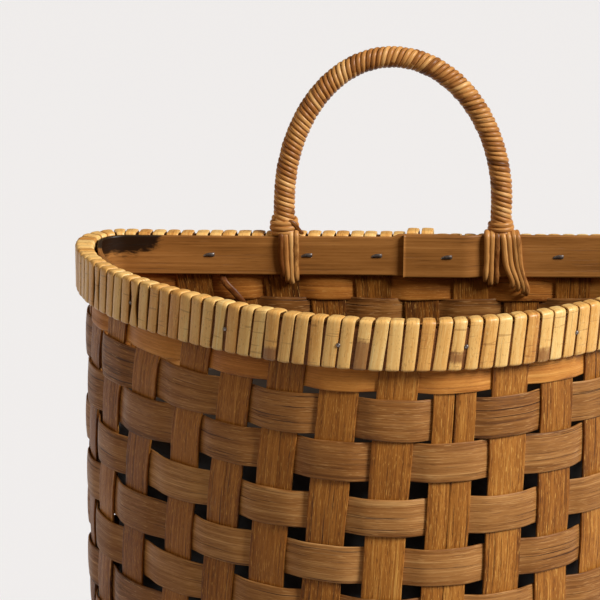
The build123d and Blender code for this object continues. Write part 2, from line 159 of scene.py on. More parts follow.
class Outline:
    """A closed plan line, walked by distance anticlockwise from the middle of the front."""

    def __init__(self, points):
        self.xy = np.array(list(points) + [points[0]], float)
        self.reached = run_length(self.xy)
        self.length = float(self.reached[-1])

    def point(self, distance):
        distance = np.mod(distance, self.length)
        x = np.interp(distance, self.reached, self.xy[:, 0])
        y = np.interp(distance, self.reached, self.xy[:, 1])
        return np.stack([x, y], -1)

    def outward(self, distance):
        ahead = self.point(distance + NORMAL_SPAN) - self.point(distance - NORMAL_SPAN)
        ahead = ahead / np.linalg.norm(ahead, axis=-1, keepdims=True)
        return np.stack([ahead[..., 1], -ahead[..., 0]], -1)

    def at(self, distance, out=0.0):
        distance = np.asarray(distance, float)
        shift = np.broadcast_to(np.asarray(out, float), distance.shape)[..., None]
        return self.point(distance) + self.outward(distance) * shift

    def inside(self, inset):
        count = len(self.xy) - 1
        return Outline(self.at(np.arange(count) * self.length / count, -inset))

    def nearest(self, x, y):
        places = np.arange(0, self.length, MM)
        gaps = np.linalg.norm(self.point(places) - np.array([x, y]), axis=1)
        return float(places[gaps.argmin()])


def rim_outline():
    widest_y = BACK_Y - CORNER
    reach = DEPTH - CORNER
    right = []
    for i in range(SAMPLES):
        turn = i / SAMPLES * math.pi / 2
        size = 1 - FRONT_TRIM * math.sin(2 * turn) ** 2
        right.append((HALF_WIDTH * size * math.sin(turn), widest_y - reach * size * math.cos(turn)))
    for i in range(SAMPLES + 1):
        turn = i / SAMPLES * math.pi / 2
        right.append((HALF_WIDTH - CORNER + CORNER * math.cos(turn), widest_y + CORNER * math.sin(turn)))
    back = [(HALF_WIDTH * share, BACK_Y) for share in (0.6, 0.3, 0.0)]
    left = [(-x, y) for x, y in reversed(right[1:] + back[:-1])]
    return Outline(right + back + left)


RIM_LINE = rim_outline()
WALL_LINE = RIM_LINE.inside(WALL_INSET)


def outline_points(line, place, z, out):
    """Points at a distance round a plan line, a height, and a distance out from the line."""
    place, z, out = np.broadcast_arrays(place, z, out)
    return np.concatenate([line.at(place, out), z[..., None]], -1)


def smooth(share):
    return share * share * (3 - 2 * share)


def belly(z):
    """How far the woven wall swells at a height."""
    share = np.clip((BELLY_TOP - np.asarray(z, float)) / (BELLY_TOP - BELLY_FOOT), 0, 1)
    return BELLY * np.sin(math.pi * share ** 0.6)


def left_swell(line, place):
    """Rises from 0 to 1 towards the left end, where the rim and wall stand out beyond the plan."""
    return smooth(np.clip((-line.point(place)[..., 0] - 0.12) / 0.06, 0, 1))


def wall_points(place, z, out):
    swell = LEFT_WALL_SWELL * left_swell(WALL_LINE, place)
    return outline_points(WALL_LINE, place, z, out + belly(z) + swell)


def wander(count, cycles, size, closed=False):
    """A smooth random line of this many values, in -size..size."""
    shares = np.arange(count) / (count if closed else max(1, count - 1))
    total = np.zeros(count)
    for cycle in range(1, cycles + 1):
        rate = cycle if closed else cycle * random.uniform(0.7, 1.2)
        height = random.uniform(-1, 1) / math.sqrt(cycle)
        total += height * np.sin(math.tau * (rate * shares + random.random()))
    return total * size / 1.6


# Meshes

def add_object(name, data):
    thing = bpy.data.objects.new(name, data)
    bpy.context.scene.collection.objects.link(thing)
    return thing


class Strips:
    """Gathers swept strips into one mesh. Its UV map holds metres along and across each strip,
    and its tone colour holds two random numbers, a stain and a lightness for the material to read."""

    def __init__(self):
        self.points = []
        self.faces = []
        self.uvs = []
        self.tones = []
        self.count = 0

    def add(self, grid, along, across, tone, closed=False, capped=True):
        """grid is rows of equal closed sections; tone is one colour, or one for each row or point."""
        rows, sides = grid.shape[:2]
        spans = rows if closed else rows - 1
        i, k = np.meshgrid(np.arange(spans), np.arange(sides), indexing="ij")
        near, far, beside = i * sides, (i + 1) % rows * sides, (k + 1) % sides
        quads = np.stack([near + k, far + k, far + beside, near + beside], -1).reshape(-1, 4)
        corners = [(i, k), (i + 1, k), (i + 1, k + 1), (i, k + 1)]
        uv = np.stack([np.stack([along[a], across[b]], -1) for a, b in corners], -2).reshape(-1, 4, 2)
        flat = grid.reshape(-1, 3)
        middle = flat.mean(0)
        a, b, c, d = (flat[quads[:, n]] - middle for n in range(4))
        inside_out = (np.cross(b - a, c - a) * a).sum() + (np.cross(c - a, d - a) * a).sum() < 0
        if inside_out:
            quads = quads[:, ::-1]
            uv = uv[:, ::-1]
        self.faces += (quads + self.count).tolist()
        self.uvs.append(uv.reshape(-1, 2))
        if capped and not closed:
            for row, forward in ((0, False), (rows - 1, True)):
                order = np.arange(sides) if forward != inside_out else np.arange(sides)[::-1]
                self.faces.append((self.count + row * sides + order).tolist())
                self.uvs.append(np.stack([np.full(sides, along[row]), across[order]], -1))
        tone = np.asarray(tone, float)
        if tone.ndim == 2:
            tone = tone[:, None, :]
        self.tones.append(np.broadcast_to(tone, (rows, sides, 4)).reshape(-1, 4))
        self.points.append(flat)
        self.count += rows * sides

    def build(self, name, material, nodes, slot, body="basket"):
        mesh = bpy.data.meshes.new(name)
        mesh.from_pydata(np.concatenate(self.points).tolist(), [], self.faces)
        mesh.uv_layers.new(name="strip").data.foreach_set("uv", np.concatenate(self.uvs).ravel())
        layer = mesh.color_attributes.new(name="tone", type="FLOAT_COLOR", domain="POINT")
        layer.data.foreach_set("color", np.concatenate(self.tones).ravel())
        mesh.polygons.foreach_set("use_smooth", [True] * len(mesh.polygons))
        mesh.materials.append(material)
        piece = add_object(name, mesh)
        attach(piece, body)
        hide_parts(*nodes)
        return piece


def section(width, thick, crown, ease=0.3, curve=2.0):
    """Section of a split strip, as (across, out) points: a crowned outer face and a flat inner one."""
    half = width / 2
    edge = min(ease * MM, thick / 2)
    shares = np.array([-1, -0.94, -0.8, -0.55, -0.28, 0, 0.28, 0.55, 0.8, 0.94, 1])
    lift = crown * (1 - np.abs(shares) ** curve)
    outer = np.stack([shares * (half - edge), thick / 2 + lift], -1)
    right = [(half, thick / 2 - edge), (half, edge - thick / 2)]
    inner = [(share * (half - edge), -thick / 2) for share in (1, 0.92, 0.0, -0.92, -1)]
    left = [(-half, edge - thick / 2), (-half, thick / 2 - edge)]
    return np.concatenate([outer, right, inner, left])


def scaled_across(profile, sizes):
    """A one-wide section's places across, at a width for each row."""
    return np.clip(profile[:, 0], -0.5, 0.5) * sizes[:, None]


def girth(profile):
    """Distance round a section, one value for each of its points and one for the return."""
    return run_length(np.concatenate([profile, profile[:1]]))


def headings(path):
    ahead = np.gradient(path, axis=0)
    return ahead / np.linalg.norm(ahead, axis=1, keepdims=True)


def evened(points, count):
    """The same line as this many evenly spaced points."""
    reached = run_length(points)
    even = np.linspace(0, reached[-1], count)
    return np.stack([np.interp(even, reached, points[:, axis]) for axis in range(3)], -1)


def smooth_path(points, count):
    """A rounded line through given points, evenly divided."""
    points = np.array(points, float)
    padded = np.concatenate([2 * points[:1] - points[1:2], points, 2 * points[-1:] - points[-2:-1]])
    made = []
    for a, b, c, d in zip(padded, padded[1:], padded[2:], padded[3:]):
        for t in np.arange(0, 1, 0.05):
            made.append(0.5 * (2 * b + (c - a) * t + (2 * a - 5 * b + 4 * c - d) * t * t
                               + (3 * b - a - 3 * c + d) * t ** 3))
    return evened(np.array(made + [points[-1]]), count)


def tube(path, up, half_width, half_height, sides=12):
    """Oval sections along a path. up is the direction of the sections' height, one for each point."""
    ahead = headings(path)
    side = np.cross(ahead, np.broadcast_to(up, path.shape))
    side /= np.linalg.norm(side, axis=1, keepdims=True)
    rise = np.cross(side, ahead)
    turns = math.tau * np.arange(sides) / sides
    width = np.broadcast_to(half_width, len(path))[:, None, None]
    height = np.broadcast_to(half_height, len(path))[:, None, None]
    return (path[:, None, :] + side[:, None, :] * width * np.cos(turns)[None, :, None]
            + rise[:, None, :] * height * np.sin(turns)[None, :, None])


def add_tube(strips, path, up, half_width, half_height, tone, sides=12):
    grid = tube(path, up, half_width, half_height, sides)
    mean = float(np.mean(half_width) + np.mean(half_height)) / 2
    around = math.tau * mean * np.arange(sides + 1) / sides
    strips.add(grid, run_length(path), around, tone)


LEAST_TAPER = 0.04


def tapered(count, size, start=0.0, end=0.0, reach=0.12):
    """Sizes along a run that round off at one end or both."""
    share = np.linspace(0, 1, count)
    sizes = np.full(count, size)
    for least, from_end in ((start, share), (end, 1 - share)):
        if least is not None:
            near = np.clip(from_end / reach, 0, 1)
            sizes = sizes * (least + (1 - least) * np.sqrt(1 - (1 - near) ** 2))
    return np.maximum(sizes, size * LEAST_TAPER)


def tone(stain=0.0, level=0.5):
    return np.array([random.random(), random.random(), stain, level])


def stretch_levels(steps, size):
    """A lightness for each value of steps: even along a visible stretch, changing where the strip
    goes under another. steps counts half stretches, and whole even numbers are the hidden middles."""
    half = np.asarray(steps) / 2
    first = int(np.floor(half.min())) - 1
    levels = [0.5 + random.uniform(-size, size) for _ in range(int(np.ceil(half.max())) - first + 3)]
    nearest = np.round(half).astype(int)
    share = smooth(np.clip((half - nearest) / 0.36 + 0.5, 0, 1))
    levels = np.array(levels)
    return levels[nearest - first - 1] * (1 - share) + levels[nearest - first] * share


def edge_darkened(levels, profile):
    """Tones for a strip with one lightness for each row, darker in places along both edges."""
    count = len(levels)
    colours = np.tile(tone(), (count, len(profile), 1))
    share = np.abs(profile[:, 0]) / np.abs(profile[:, 0]).max()
    # darker in random stretches near both edges of the strip
    edge = np.clip((share - 0.76) / 0.2, 0, 1)
    for side in (-1, 1):
        darkening = np.clip(0.2 + wander(count, 60, 0.6), 0, 0.8)
        here = edge * (np.sign(profile[:, 0]) == side)
        colours[..., 3] -= darkening[:, None] * here
    colours[..., 3] += levels[:, None] - 0.5
    return colours


# Materials

def paint(red, green, blue):
    """A screen colour as the linear colour that shaders take."""
    linear = [((c / 255 + 0.055) / 1.055) ** 2.4 if c > 10 else c / 255 / 12.92 for c in (red, green, blue)]
    return (*linear, 1.0)


class Shader:
    """A material in the making. Any input may be a value or another node's output."""

    def __init__(self, name):
        self.material = bpy.data.materials.new(name)
        self.material.use_nodes = True
        self.tree = self.material.node_tree
        self.surface = self.tree.nodes["Principled BSDF"]

    def add(self, kind, *values, **settings):
        node = self.tree.nodes.new(kind)
        for key, value in settings.items():
            setattr(node, key, value)
        for place, value in enumerate(values):
            self.feed(node.inputs[place], value)
        return node

    def feed(self, socket, value):
        if value is None:
            return
        if isinstance(value, bpy.types.NodeSocket):
            self.tree.links.new(value, socket)
        else:
            socket.default_value = value

    def sum(self, *terms):
        """Adds up (value, weight) pairs."""
        total = None
        for value, weight in terms:
            part = self.times(value, weight)
            total = part if total is None else self.add("ShaderNodeMath", total, part).outputs[0]
        return total

    def spread(self, value, low, high, to_low=0.0, to_high=1.0):
        node = self.add("ShaderNodeMapRange", value, low, high, to_low, to_high)
        node.interpolation_type = "SMOOTHSTEP"
        return node.outputs[0]

    def times(self, a, b):
        return self.add("ShaderNodeMath", a, b, operation="MULTIPLY").outputs[0]

    def stretched(self, parts, rates, seed, detail=3.0, rough=0.55, warp=0.0):
        """Noise over strip coordinates: rates are its cycles per metre along and across."""
        along = self.times(parts[0], rates[0])
        across = self.times(parts[1], rates[1])
        spot = self.add("ShaderNodeCombineXYZ", along, across, seed).outputs[0]
        noise = self.add("ShaderNodeTexNoise", spot)
        noise.inputs["Scale"].default_value = 1.0
        noise.inputs["Detail"].default_value = detail
        noise.inputs["Roughness"].default_value = rough
        noise.inputs["Distortion"].default_value = warp
        return noise.outputs["Fac"]

    def ramp(self, value, *stops):
        node = self.add("ShaderNodeValToRGB", value)
        elements = node.color_ramp.elements
        for place, (at, colour) in enumerate(stops):
            stop = elements[place] if place < 2 else elements.new(at)
            stop.position = at
            stop.color = colour
        return node.outputs["Color"]

    def blend(self, share, a, b, mode="MIX"):
        node = self.add("ShaderNodeMix", data_type="RGBA", blend_type=mode)
        self.feed(node.inputs["Factor"], share)
        self.feed(node.inputs[6], a)
        self.feed(node.inputs[7], b)
        return node.outputs[2]

    def tinted(self, share, colour, tint):
        """The colour multiplied by a tint, over a share of the surface."""
        return self.blend(share, colour, self.blend(1.0, colour, tint, "MULTIPLY"))

    def finish(self, colour, roughness, height=None, depth=0.0, specular=0.5, coat=0.0):
        inputs = self.surface.inputs
        self.feed(inputs["Base Color"], colour)
        self.feed(inputs["Roughness"], roughness)
        inputs["Specular IOR Level"].default_value = specular
        inputs["Coat Weight"].default_value = coat
        inputs["Coat Roughness"].default_value = 0.3
        if height is not None:
            bump = self.add("ShaderNodeBump")
            bump.inputs["Strength"].default_value = 1.0
            bump.inputs["Distance"].default_value = depth
            self.feed(bump.inputs["Height"], height)
            self.feed(inputs["Normal"], bump.outputs[0])
        return self.material


def strip_inputs(shader):
    """Metres along and across the strip, and its two random numbers, stain and lightness."""
    uv = shader.add("ShaderNodeUVMap", uv_map="strip").outputs[0]
    spot = shader.add("ShaderNodeSeparateXYZ", uv)
    source = shader.add("ShaderNodeAttribute", attribute_name="tone")
    tones = shader.add("ShaderNodeSeparateColor", source.outputs["Color"])
    return spot.outputs[:2], tones.outputs[0], tones.outputs[1], tones.outputs[2], source.outputs["Alpha"]


SOOT = (0.3, 0.2, 0.13, 1)


def bamboo(name, colours, fibre, fine, stain=SOOT, fibres=0.34, fines=0.22, patches=0.26, tones=0.3,
           flecks=0.5, fleck_rates=(260, 2600), pale_flecks=0.3, cracks=0.5, rings=0.0, bump=0.18,
           roughness=(0.42, 0.62), coat=0.0, specular=0.26):
    """Split bamboo: long fibres, finer ones between them, drifting patches, flecks and dark cracks.
    colours are screen colours from dark to pale; stain is the tint of soot and brown patches."""
    shader = Shader(name)
    parts, first, second, stained, lightness = strip_inputs(shader)
    seed = shader.times(first, 61.0)
    other = shader.times(second, 47.0)
    wide = shader.stretched(parts, fibre, seed, 3.0, 0.6, 0.25)
    thin = shader.stretched(parts, fine, other, 2.0, 0.6)
    patch = shader.stretched(parts, (16, 55), other, 2.0, 0.5)
    level = shader.sum((wide, fibres), (thin, fines), (patch, patches), (first, tones / 2),
                       (lightness, tones))
    middle = (fibres + fines + patches + tones * 1.5) / 2
    reach = 0.2 * (fibres + fines) + 0.16 * patches + 0.25 * tones
    share = shader.add("ShaderNodeMapRange", level, middle - reach, middle + reach).outputs[0]
    darkest, dark, pale, palest = (paint(*colour) for colour in colours)
    colour = shader.ramp(share, (0, darkest), (1, palest), (1 / 3, dark), (2 / 3, pale))
    speck = shader.stretched(parts, fleck_rates, seed, 2.0, 0.5)
    dark_speck = shader.times(shader.spread(speck, 0.60, 0.70), flecks)
    colour = shader.tinted(dark_speck, colour, (0.34, 0.27, 0.2, 1))
    pale_speck = shader.times(shader.spread(speck, 0.40, 0.31), pale_flecks)
    colour = shader.blend(pale_speck, colour, palest)
    line = shader.stretched(parts, (11, 900), other, 3.0, 0.65, 0.4)
    crack = shader.times(shader.spread(line, 0.38, 0.31), cracks)
    colour = shader.tinted(crack, colour, (0.22, 0.15, 0.1, 1))
    height = shader.sum((wide, 0.9), (thin, 0.5), (crack, -1.2), (dark_speck, -0.3))
    if rings:
        seam = shader.stretched(parts, (480, 40), seed, 1.0, 0.4, 1.2)
        ring = shader.times(shader.spread(seam, 0.335, 0.29), rings)
        colour = shader.tinted(ring, colour, (0.4, 0.3, 0.2, 1))
        height = shader.sum((height, 1.0), (ring, -1.0))
    soot_edge = shader.stretched(parts, (140, 420), other, 4.0, 0.6, 0.6)
    soot = shader.sum((stained, 1.5), (soot_edge, 1.0))
    soot = shader.times(shader.spread(soot, 0.85, 1.25), shader.spread(stained, 0.02, 0.25))
    colour = shader.tinted(soot, colour, stain)
    gloss = shader.add("ShaderNodeMapRange", shader.sum((wide, 0.6), (patch, 0.4)), 0.3, 0.7,
                       roughness[1], roughness[0]).outputs[0]
    return shader.finish(colour, gloss, height, bump * MM, specular, coat)


STAVE = bamboo(
    "stave_bamboo",
    [(70, 34, 6), (138, 82, 26), (176, 114, 46), (224, 168, 88)],
    fibre=(10, 560), fine=(45, 2300), fibres=0.52, fines=0.46, patches=0.22, tones=0.2,
    flecks=0.8, fleck_rates=(190, 2300), pale_flecks=0.75, cracks=1.0, bump=0.32, roughness=(0.4, 0.62))
WEAVER = bamboo(
    "weaver_bamboo",
    [(72, 38, 10), (136, 86, 38), (170, 118, 64), (214, 166, 108)],
    fibre=(9, 380), fine=(30, 1700), fibres=0.56, fines=0.42, patches=0.24, tones=0.22,
    fleck_rates=(120, 1900), pale_flecks=0.5, cracks=0.95, bump=0.28, roughness=(0.38, 0.6))
BINDER = bamboo(
    "binder_bamboo",
    [(118, 64, 20), (182, 114, 48), (214, 146, 70), (244, 186, 106)],
    fibre=(9, 480), fine=(30, 2000), fibres=0.42, fines=0.24, patches=0.24,
    flecks=0.3, cracks=0.6, roughness=(0.36, 0.56))
MAT = bamboo(
    "mat_bamboo",
    [(92, 54, 24), (146, 96, 50), (172, 120, 68), (196, 146, 92)],
    fibre=(9, 420), fine=(30, 1900), roughness=(0.45, 0.66))
# Dark bamboo for the rim hoop, the foot bands and the handle rod. Its colours are darker than the bamboo's own:
# painted shade for the narrow gaps between the rim wraps and between the handle strands, where the hoop and the
# rod show.
HOOP = bamboo(
    "hoop_bamboo",
    [(44, 22, 8), (84, 48, 20), (112, 68, 32), (142, 92, 48)],
    fibre=(8, 420), fine=(30, 1700), bump=0.2)
CANE = bamboo(
    "rim_cane",
    [(178, 110, 40), (230, 172, 92), (250, 206, 130), (255, 230, 166)],
    fibre=(26, 520), fine=(70, 2100), stain=(0.4, 0.3, 0.24, 1), patches=0.44, tones=0.26,
    flecks=0.4, fleck_rates=(420, 1300), cracks=0.36, rings=0.45, bump=0.1,
    roughness=(0.28, 0.48), coat=0.1, specular=0.45)
BAND = bamboo(
    "band_bamboo",
    [(92, 52, 18), (146, 94, 42), (170, 114, 58), (196, 140, 80)],
    fibre=(5, 300), fine=(18, 1500), stain=(0.06, 0.055, 0.07, 1), fibres=0.44, fines=0.26, patches=0.3,
    tones=0.05, flecks=0.3, fleck_rates=(90, 1500), pale_flecks=0.2, bump=0.1,
    roughness=(0.34, 0.54), coat=0.12)
WINDING = bamboo(
    "winding_rattan",
    [(100, 56, 20), (170, 110, 54), (208, 150, 84), (238, 192, 128)],
    fibre=(40, 1300), fine=(80, 3600), fibres=0.4, fines=0.26, patches=0.3, tones=0.26,
    flecks=0.4, fleck_rates=(300, 2600), pale_flecks=0.2, cracks=0.45, bump=0.09,
    roughness=(0.3, 0.5), coat=0.1)


def steel():
    shader = Shader("nail_steel")
    parts, first = strip_inputs(shader)[:2]
    rust = shader.stretched(parts, (700, 700), shader.times(first, 30.0), 4.0, 0.6)
    dark, pale, between = paint(84, 74, 70), paint(150, 146, 146), paint(112, 100, 94)
    colour = shader.ramp(rust, (0.35, dark), (0.65, pale), (0.5, between))
    roughness = shader.spread(rust, 0.4, 0.65, 0.62, 0.34)
    shader.surface.inputs["Metallic"].default_value = 0.8
    return shader.finish(colour, roughness, rust, 0.05 * MM)


def plastic():
    shader = Shader("liner_plastic")
    parts, _, second = strip_inputs(shader)[:3]
    place = shader.add("ShaderNodeNewGeometry").outputs["Position"]
    grain = shader.add("ShaderNodeTexNoise", place)
    grain.inputs["Scale"].default_value = 900.0
    grain.inputs["Detail"].default_value = 3.0
    scuff = shader.stretched(parts, (8, 60), shader.times(second, 12.0), 4.0, 0.65, 0.5)
    colour = shader.ramp(scuff, (0.3, paint(36, 28, 22)), (0.7, paint(54, 43, 34)))
    roughness = shader.spread(scuff, 0.35, 0.65, 0.42, 0.6)
    return shader.finish(colour, roughness, grain.outputs["Fac"], 0.05 * MM)


STEEL = steel()
PLASTIC = plastic()


# Woven wall

def side_place(count, spread):
    most, rate = spread
    return FRONT_PITCH * count + most * (1 - math.exp(-max(0, count - EVEN_STAVES) / rate))


def stave_place(number):
    """Distance along the wall of a stave's middle at the rim; number 0 is the front centre."""
    if number <= SIDE_STAVES:
        return FRONT_OFFSET + side_place(number, RIGHT_SPREAD)
    if number >= STAVE_COUNT - SIDE_STAVES:
        return WALL_LINE.length + FRONT_OFFSET - side_place(STAVE_COUNT - number, LEFT_SPREAD)
    share = (number - SIDE_STAVES) / (STAVE_COUNT - 2 * SIDE_STAVES)
    start, end = stave_place(SIDE_STAVES), stave_place(STAVE_COUNT - SIDE_STAVES)
    return start + (end - start) * share + BACK_SHIFT * math.sin(math.pi * share)


def stave_middle(number, z):
    """Distance along the wall of a stave's middle; staves lean, most of all on the left."""
    swing = math.sin(math.tau * stave_place(number) / WALL_LINE.length)
    lean = math.radians(TWIST_MEAN - TWIST_SWING * swing)
    reach = TWIST_REACH * (1 - np.exp((np.asarray(z) - RIM_TOP) / TWIST_REACH))
    return stave_place(number) - math.tan(lean) * reach


ROWS = [(RIM_TOP - depth * MM, height * MM) for depth, height in UPPER_ROWS]
ROWS += [(RIM_TOP - (ROW_START + ROW_PITCH * i) * MM, ROW_HEIGHT * MM) for i in range(LOWER_ROWS)]
ROW_MIDDLES = np.array([top - height / 2 for top, height in ROWS])


def add_stave_strip(strips, number, start, end, darker=0.0):
    """One strip of a stave; start and end are its edges across, and may change with height."""
    z = np.linspace(STAVE_TOP, STAVE_BOTTOM, STAVE_STEPS)
    start, end = np.broadcast_to(start, z.shape), np.broadcast_to(end, z.shape)
    row = np.interp(-z, -ROW_MIDDLES, np.arange(len(ROWS)))
    out = STAVE_BOW * math.cos(math.pi * number) * np.cos(math.pi * row) + wander(len(z), 9, 0.12 * MM)
    profile = section(1.0, STAVE_THICK, 0.3 * MM)
    size = (end - start) * (1 + wander(len(z), 14, 0.022))
    shift = wander(len(z), 5, 0.5 * MM)
    tilt = wander(len(z), 6, 0.012)
    across = ((start + end) / 2)[:, None] + scaled_across(profile, size)
    place = stave_middle(number, z)[:, None] + shift[:, None] + across
    stand = out[:, None] + profile[:, 1] + tilt[:, None] * across
    grid = wall_points(place, z[:, None], stand)
    # painted shade: strips standing at the back of the wall are made darker by the given amount, for the shade
    # inside the basket
    levels = stretch_levels(row + (1 if number % 2 == 0 else 0), 0.28) - darker
    around = girth(section(float((end - start).mean()), STAVE_THICK, 0.3 * MM))
    strips.add(grid, STAVE_TOP - z, around, edge_darkened(levels, profile))


def build_staves():
    back = Strips()
    depth = RIM_TOP - np.linspace(STAVE_TOP, STAVE_BOTTOM, STAVE_STEPS)
    gap = SPLIT_CLOSED + (SPLIT_GAP - SPLIT_CLOSED) * np.clip((0.11 - depth) / 0.05, 0, 1)
    for number in range(STAVE_COUNT):
        behind = SIDE_STAVES < number < STAVE_COUNT - SIDE_STAVES
        strips = back if behind else Strips()
        half = STAVE_WIDTH / 2
        if number == SPLIT_STAVE:
            add_stave_strip(strips, number, -half - MM, -gap / 2)
            add_stave_strip(strips, number, gap / 2, half + MM)
        else:
            add_stave_strip(strips, number, -half, half, INNER_SHADE if behind else 0.0)
        if not behind:
            strips.build(f"stave_{number:02d}_strip", STAVE, [f"stave_{number:02d}"], "bamboo_stave")
    back.build("back_stave_strips", STAVE, ["back_staves"], "bamboo_stave")


def weave_wave(turn):
    return np.tanh(1.6 * np.cos(turn)) / math.tanh(1.6)


def build_weaver(row, top, height):
    middle = top - height / 2
    hidden = row % 2
    staves = np.array([stave_middle(n, middle) for n in range(STAVE_COUNT)])
    staves = np.concatenate([staves, staves[:2] + WALL_LINE.length])
    count = 780
    place = staves[hidden] + WALL_LINE.length * np.arange(count) / count
    turn = math.pi * np.interp(place, staves, np.arange(STAVE_COUNT + 2))
    swing = WEAVER_SWING_AT_RIM if row == 0 else WEAVER_SWING
    sign = 1 if row % 2 else -1
    press = 1 + wander(count, 40, 0.05, closed=True)
    out = sign * swing * weave_wave(turn) * press
    profile = section(height, WEAVER_THICK, (0.3 if row == 0 else 0.55) * MM, curve=2.4)
    rise = wander(count, 26, 0.55 * MM, closed=True)
    size = 1 + wander(count, 34, 0.028, closed=True)
    spots = WALL_LINE.point(place)
    behind = np.clip((spots[:, 1] - BACK_Y + CORNER) / CORNER, 0, 1)
    leftward = np.clip((-spots[:, 0] - 0.11) / 0.06, 0, 1) * (1 - behind)
    size = size + (0.34 if row < 2 else 0.15) * behind + (0.13 if row < 3 else 0.16) * leftward
    tilt = wander(count, 30, 0.02, closed=True)
    z = middle + rise[:, None] + profile[:, 0] * size[:, None]
    stand = out[:, None] + profile[:, 1] + tilt[:, None] * profile[:, 0]
    grid = wall_points(place[:, None], z, stand)
    strips = Strips()
    along = np.append(place, staves[hidden] + WALL_LINE.length) - staves[hidden]
    # painted shade: the weaver is darker across the back of the wall, for the shade inside the basket
    levels = stretch_levels(turn / math.pi + hidden, 0.34) - INNER_SHADE * behind
    strips.add(grid, along, girth(profile), edge_darkened(levels, profile), closed=True)
    slot, material = ("bamboo_binder", BINDER) if row == 0 else ("bamboo_weaver", WEAVER)
    strips.build(f"weaver_{row:02d}_strip", material, [f"weaver_{row:02d}"], slot)


# Rim

HOOP_LINE = RIM_LINE.inside(HOOP_OUTER)
WRAP_COUNT = round(HOOP_LINE.length / WRAP_PITCH)
WRAP_FACE = 1.25 * MM        # from the rim's outer face to the middle of the wraps' thickness
WRAP_LEG = 11.9 * MM         # the same for the wraps' hidden leg between the staves and the band
LEG_SPARE = 3 * MM           # how much less far in it lies at the front
FRONT_LIFT = 2.1 * MM        # how much higher the front of the binding stands than the back
FRONT_REACH = 60 * MM
RIGHT_SINK = 1.2 * MM        # how much lower the back of the binding lies to the right of the tie
WRAP_SLANT = 0.115           # how far a wrap advances for each metre that it runs down
# Brown patches on single wraps: wrap number, depth of the patch's top and bottom below the rim in mm.
WRAP_STAINS = {-9: (17, 30), -3: (8, 30), 3: (14, 22), 9: (17, 26), 27: (6, 18), 45: (5, 16), -52: (9, 20)}
STAIN_DEPTH = 0.55           # below 1, so that the patches stay mottled
NARROW_WRAPS = {-26: 0.5, -21: 0.5, -13: 0.84}


def rounded_path(corners, radii, step=0.9 * MM):
    """Points along straight stretches joined by arcs, close together in the bends."""
    corners = np.array(corners, float)
    points = [corners[0]]
    for before, here, after, radius in zip(corners, corners[1:], corners[2:], radii):
        into = (here - before) / np.linalg.norm(here - before)
        onward = (after - here) / np.linalg.norm(after - here)
        for share in np.linspace(0, 1, 7):
            a = here - into * radius * (1 - share)
            b = here + onward * radius * share
            points.append(a * (1 - share) + b * share)
    points = np.array([*points, corners[-1]])
    filled = [points[:1]]
    for a, b in zip(points, points[1:]):
        count = max(1, round(float(np.linalg.norm(b - a)) / (step * 2.5)))
        filled.append(a + (b - a) * np.arange(1, count + 1)[:, None] / count)
    return np.concatenate(filled)


def wrap_path(lift, leg):
    """A wrap's middle line, (out, up) from the rim's outer top edge, from the leg over the top and
    down the face, round under the hoop and up behind it."""
    top, low = WRAP_THICK / 2 + lift, -RIM_HEIGHT + WRAP_THICK / 2 + 0.3 * MM
    behind = HOOP_OUTER + HOOP_THICK + 0.1 * MM + WRAP_THICK / 2
    corners = [(-leg, -7 * MM), (-leg, top), (-WRAP_FACE, top), (-WRAP_FACE, low), (-behind, low),
               (-behind, low + 8 * MM)]
    return rounded_path(corners, [1.5 * MM, random.uniform(1.7, 2.3) * MM, 1.0 * MM, 1.6 * MM])


